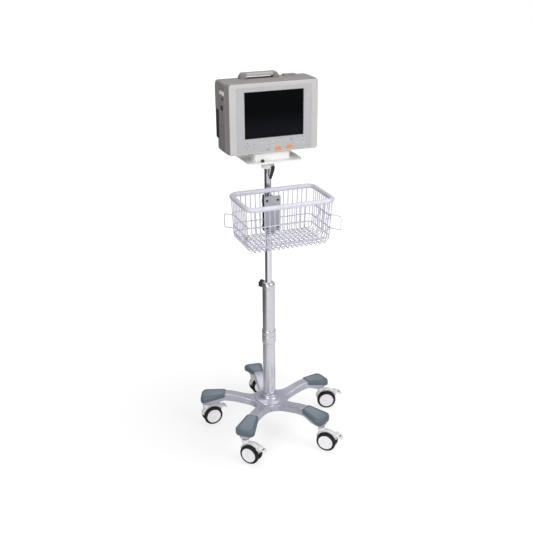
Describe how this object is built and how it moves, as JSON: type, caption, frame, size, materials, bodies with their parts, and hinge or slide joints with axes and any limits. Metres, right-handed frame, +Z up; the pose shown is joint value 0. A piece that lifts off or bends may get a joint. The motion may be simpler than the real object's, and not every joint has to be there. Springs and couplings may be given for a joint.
{
  "type": "patient monitor on roll stand",
  "caption": "Bedside patient monitor on a castor roll stand, with a telescopic column, a wire basket and a tilting, swivelling head.",
  "frame": {"origin": "centre of the footprint box on the floor; the column axis stands at x -0.0368, y 0.0036", "axes": "+Z up, -Y towards the viewer of the screen, +X to that viewer's right"},
  "size_m": [0.5828, 0.5598, 1.379],
  "materials": {
    "cast_aluminium": "silver-lavender paint on cast aluminium, soft gloss",
    "pad_plastic": "grey-blue moulded plastic, fine grain",
    "white_plastic": "glossy white moulding",
    "tyre_rubber": "black tyre round a white hub disc",
    "zinc": "zinc-plated steel",
    "satin_aluminium": "satin anodised tube",
    "chrome": "chrome-plated tube",
    "black_plastic": "black plastic",
    "coated_wire": "white plastic-coated wire with a lavender cast",
    "rim_coating": "white plastic sleeve with a lavender cast",
    "module_metal": "sheet metal of an inner module",
    "painted_plate": "grey painted sheet steel",
    "cream_paint": "off-white painted casting",
    "bezel_plastic": "warm light-grey moulding",
    "housing_plastic": "taupe-grey moulding",
    "panel_foil": "bluish-grey printed foil",
    "screen_glass": "black switched-off screen, glossy",
    "grip_plastic": "pale pinkish-white grip",
    "orange_key": "orange rubber key",
    "circuit_board": "green circuit board"
  },
  "bodies": {
    "base": {"base_star": "cast_aluminium", "arm_pad_front_left": "pad_plastic", "arm_pad_front_right": "pad_plastic", "arm_pad_right": "pad_plastic", "arm_pad_rear": "pad_plastic", "arm_pad_left": "pad_plastic", "castor_stem_front_left": "zinc", "castor_stem_front_right": "zinc", "castor_stem_right": "zinc", "castor_stem_rear": "zinc", "castor_stem_left": "zinc", "lower_tube": "satin_aluminium", "column_collar": "satin_aluminium", "upper_sleeve": "satin_aluminium", "sleeve_cap": "satin_aluminium"},
    "knob": {"clamp_knob": "black_plastic"},
    "mast": {"mast": "chrome", "basket_rim": "rim_coating", "basket_cage": "coated_wire", "basket_plate": "painted_plate", "basket_clamp": "black_plastic", "head_housing": "cream_paint"},
    "lever": {"head_lever": "black_plastic"},
    "swivel": {"swivel_yoke": "cream_paint", "tilt_pin": "zinc"},
    "monitor": {"mount_plate": "cream_paint", "front_bezel": "bezel_plastic", "keypad_panel": "panel_foil", "screen_glass": "screen_glass", "lcd_module": "module_metal", "rear_housing": "housing_plastic", "connector_panel": "housing_plastic", "vent_grille": "black_plastic", "handle_frame": "housing_plastic", "handle_grip": "grip_plastic", "main_board": "circuit_board", "power_supply": "module_metal", "pressure_pump": "black_plastic"},
    "key_left": {"alarm_key_left": "orange_key"},
    "key_right": {"alarm_key_right": "orange_key"},
    "castor_front_left": {"castor_hood_front_left": "white_plastic"},
    "wheel_near_front_left": {"wheel_near_front_left": "tyre_rubber"},
    "wheel_far_front_left": {"wheel_far_front_left": "tyre_rubber"},
    "pedal_front_left": {"castor_pedal_front_left": "white_plastic"},
    "castor_front_right": {"castor_hood_front_right": "white_plastic"},
    "wheel_near_front_right": {"wheel_near_front_right": "tyre_rubber"},
    "wheel_far_front_right": {"wheel_far_front_right": "tyre_rubber"},
    "pedal_front_right": {"castor_pedal_front_right": "white_plastic"},
    "castor_right": {"castor_hood_right": "white_plastic"},
    "wheel_near_right": {"wheel_near_right": "tyre_rubber"},
    "wheel_far_right": {"wheel_far_right": "tyre_rubber"},
    "pedal_right": {"castor_pedal_right": "white_plastic"},
    "castor_rear": {"castor_hood_rear": "white_plastic"},
    "wheel_near_rear": {"wheel_near_rear": "tyre_rubber"},
    "wheel_far_rear": {"wheel_far_rear": "tyre_rubber"},
    "pedal_rear": {"castor_pedal_rear": "white_plastic"},
    "castor_left": {"castor_hood_left": "white_plastic"},
    "wheel_near_left": {"wheel_near_left": "tyre_rubber"},
    "wheel_far_left": {"wheel_far_left": "tyre_rubber"},
    "pedal_left": {"castor_pedal_left": "white_plastic"}
  },
  "joints": [
    {"name": "clamp_knob_turn", "type": "hinge", "parent": "base", "child": "knob", "pos_m": [-0.0368, 0.0036, 0.601], "axis": [-0.4226, 0.9063, 0], "range_deg": [0, 360]},
    {"name": "mast_height", "type": "slide", "parent": "base", "child": "mast", "axis": [0, 0, 1], "range_m": [-0.18, 0.12]},
    {"name": "lever_turn", "type": "hinge", "parent": "mast", "child": "lever", "pos_m": [-0.0288, -0.0256, 1.058], "axis": [0, -1, 0], "range_deg": [0, 100]},
    {"name": "head_swivel", "type": "hinge", "parent": "mast", "child": "swivel", "pos_m": [-0.0368, 0.0036, 1.0655], "axis": [0, 0, 1], "range_deg": [-170, 170]},
    {"name": "monitor_tilt", "type": "hinge", "parent": "swivel", "child": "monitor", "pos_m": [-0.0368, 0.0036, 1.0815], "axis": [1, 0, 0], "range_deg": [-15, 15]},
    {"name": "alarm_key_left_press", "type": "slide", "parent": "monitor", "child": "key_left", "axis": [0, 1, 0], "range_m": [0, 0.001], "stiffness_N_per_m": 800},
    {"name": "alarm_key_right_press", "type": "slide", "parent": "monitor", "child": "key_right", "axis": [0, 1, 0], "range_m": [0, 0.001], "stiffness_N_per_m": 800},
    {"name": "swivel_front_left", "type": "hinge", "parent": "base", "child": "castor_front_left", "pos_m": [-0.20245, -0.18364, 0.0915], "axis": [0, 0, 1], "continuous": true},
    {"name": "roll_near_front_left", "type": "hinge", "parent": "castor_front_left", "child": "wheel_near_front_left", "pos_m": [-0.19162, -0.20588, 0.0375], "axis": [0.766, 0.6428, 0], "continuous": true},
    {"name": "roll_far_front_left", "type": "hinge", "parent": "castor_front_left", "child": "wheel_far_front_left", "pos_m": [-0.18243, -0.19817, 0.0375], "axis": [0.766, 0.6428, 0], "continuous": true},
    {"name": "brake_front_left", "type": "hinge", "parent": "castor_front_left", "child": "pedal_front_left", "pos_m": [-0.16386, -0.22963, 0.06995], "axis": [0.766, 0.6428, 0], "range_deg": [0, 18]},
    {"name": "swivel_front_right", "type": "hinge", "parent": "base", "child": "castor_front_right", "pos_m": [0.09008, -0.21181, 0.0915], "axis": [0, 0, 1], "continuous": true},
    {"name": "roll_near_front_right", "type": "hinge", "parent": "castor_front_right", "child": "wheel_near_front_right", "pos_m": [0.10318, -0.2328, 0.0375], "axis": [0.6947, 0.7193, 0], "continuous": true},
    {"name": "roll_far_front_right", "type": "hinge", "parent": "castor_front_right", "child": "wheel_far_front_right", "pos_m": [0.11152, -0.22416, 0.0375], "axis": [0.6947, 0.7193, 0], "continuous": true},
    {"name": "brake_front_right", "type": "hinge", "parent": "castor_front_right", "child": "pedal_front_right", "pos_m": [0.13328, -0.25352, 0.06995], "axis": [0.6947, 0.7193, 0], "range_deg": [0, 18]},
    {"name": "swivel_right", "type": "hinge", "parent": "base", "child": "castor_right", "pos_m": [0.20727, 0.05771, 0.0915], "axis": [0, 0, 1], "continuous": true},
    {"name": "roll_near_right", "type": "hinge", "parent": "castor_right", "child": "wheel_near_right", "pos_m": [0.22753, 0.04351, 0.0375], "axis": [0.3584, 0.9336, 0], "continuous": true},
    {"name": "roll_far_right", "type": "hinge", "parent": "castor_right", "child": "wheel_far_right", "pos_m": [0.23183, 0.05471, 0.0375], "axis": [0.3584, 0.9336, 0], "continuous": true},
    {"name": "brake_right", "type": "hinge", "parent": "castor_right", "child": "pedal_right", "pos_m": [0.26333, 0.03619, 0.06995], "axis": [0.3584, 0.9336, 0], "range_deg": [0, 18]},
    {"name": "swivel_rear", "type": "hinge", "parent": "base", "child": "castor_rear", "pos_m": [-0.01284, 0.25245, 0.0915], "axis": [0, 0, 1], "continuous": true},
    {"name": "roll_near_rear", "type": "hinge", "parent": "castor_rear", "child": "wheel_near_rear", "pos_m": [0.01152, 0.24814, 0.0375], "axis": [-0.0698, 0.9976, 0], "continuous": true},
    {"name": "roll_far_rear", "type": "hinge", "parent": "castor_rear", "child": "wheel_far_rear", "pos_m": [0.01068, 0.26011, 0.0375], "axis": [-0.0698, 0.9976, 0], "continuous": true},
    {"name": "brake_rear", "type": "hinge", "parent": "castor_rear", "child": "pedal_rear", "pos_m": [0.04706, 0.25664, 0.06995], "axis": [-0.0698, 0.9976, 0], "range_deg": [0, 18]},
    {"name": "swivel_left", "type": "hinge", "parent": "base", "child": "castor_left", "pos_m": [-0.26606, 0.10329, 0.0915], "axis": [0, 0, 1], "continuous": true},
    {"name": "roll_near_left", "type": "hinge", "parent": "castor_left", "child": "wheel_near_left", "pos_m": [-0.24178, 0.09855, 0.0375], "axis": [-0.0523, 0.9986, 0], "continuous": true},
    {"name": "roll_far_left", "type": "hinge", "parent": "castor_left", "child": "wheel_far_left", "pos_m": [-0.24241, 0.11053, 0.0375], "axis": [-0.0523, 0.9986, 0], "continuous": true},
    {"name": "brake_left", "type": "hinge", "parent": "castor_left", "child": "pedal_left", "pos_m": [-0.20611, 0.10643, 0.06995], "axis": [-0.0523, 0.9986, 0], "range_deg": [0, 18]}
  ]
}
